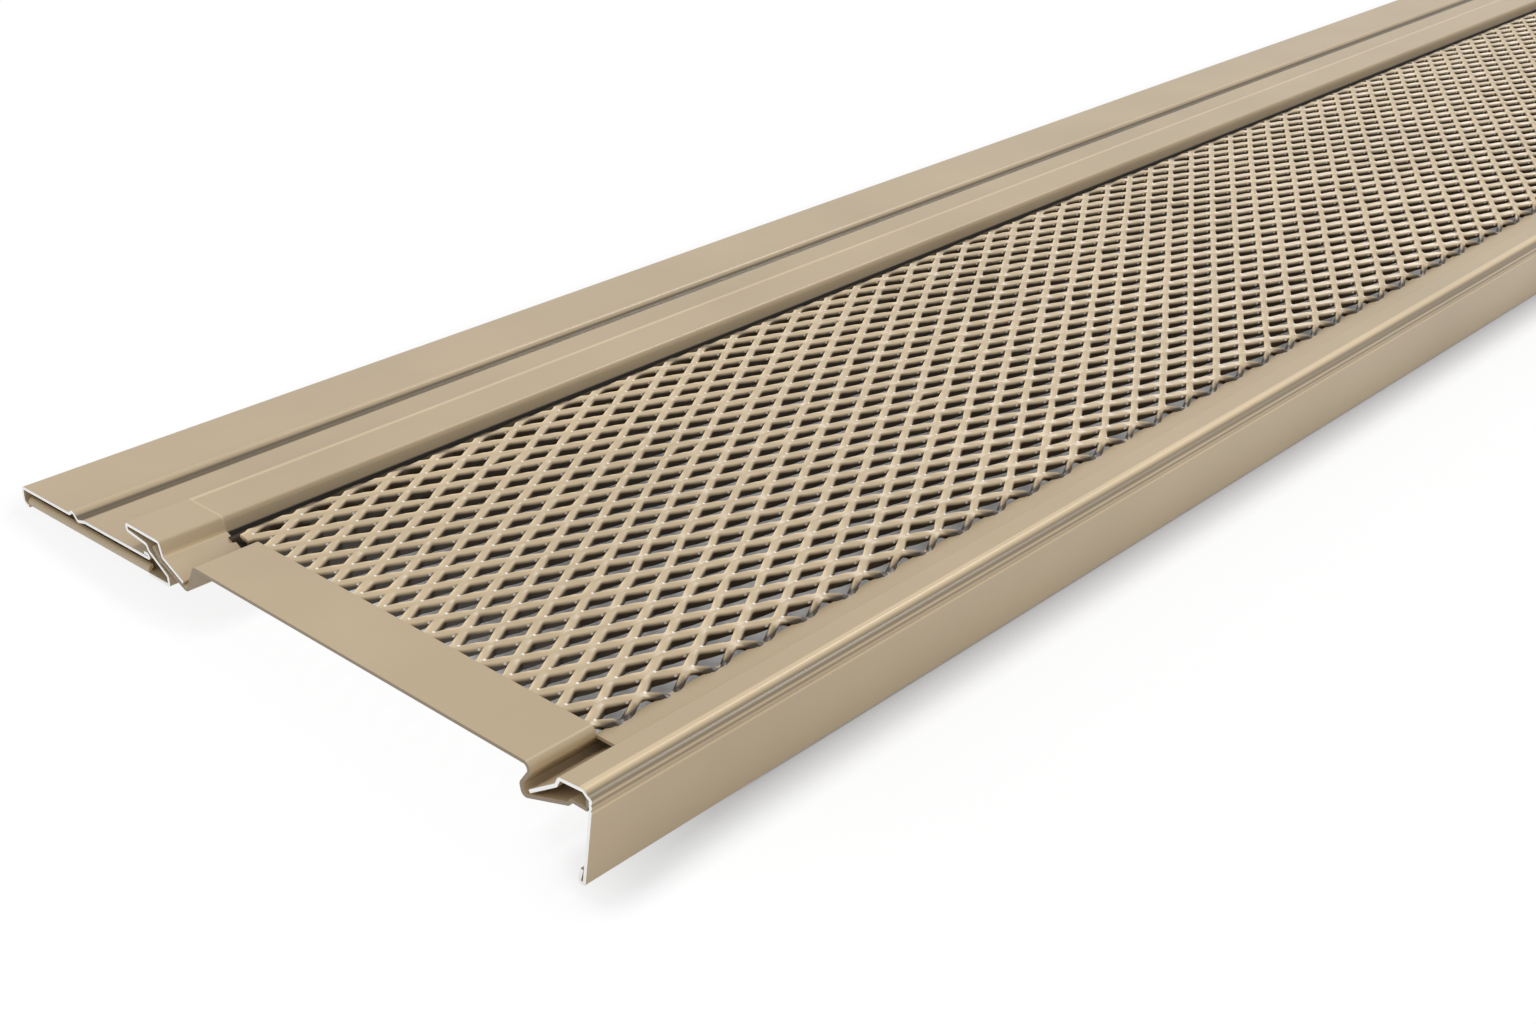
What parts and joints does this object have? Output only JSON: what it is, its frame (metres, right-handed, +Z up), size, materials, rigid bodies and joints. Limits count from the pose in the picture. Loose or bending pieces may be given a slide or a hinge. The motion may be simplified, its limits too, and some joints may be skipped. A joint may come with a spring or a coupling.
{
  "type": "gutter guard",
  "caption": "Length of gutter guard: a raised expanded metal panel locked between a front rail with a hooked skirt and a folded rear flange.",
  "frame": {"origin": "on the floor under the middle of the guard, as it lies unheld on its skirt's hem and its rear fold", "axes": "+X along the stock, away from the end with the rolled hem; +Y from the gutter's front lip toward the roof; +Z up"},
  "size_m": [1.2192, 0.146, 0.0158],
  "materials": {
    "painted_sheet": "satin clay-coloured coil paint"
  },
  "bodies": {
    "root": {"rear_rail": "painted_sheet", "front_rail": "painted_sheet", "panel_frame": "painted_sheet", "mesh_bay_01": "painted_sheet", "mesh_bay_02": "painted_sheet", "mesh_bay_03": "painted_sheet", "mesh_bay_04": "painted_sheet", "mesh_bay_05": "painted_sheet", "mesh_bay_06": "painted_sheet", "mesh_bay_07": "painted_sheet", "mesh_bay_08": "painted_sheet", "mesh_bay_09": "painted_sheet", "mesh_bay_10": "painted_sheet"}
  },
  "joints": []
}
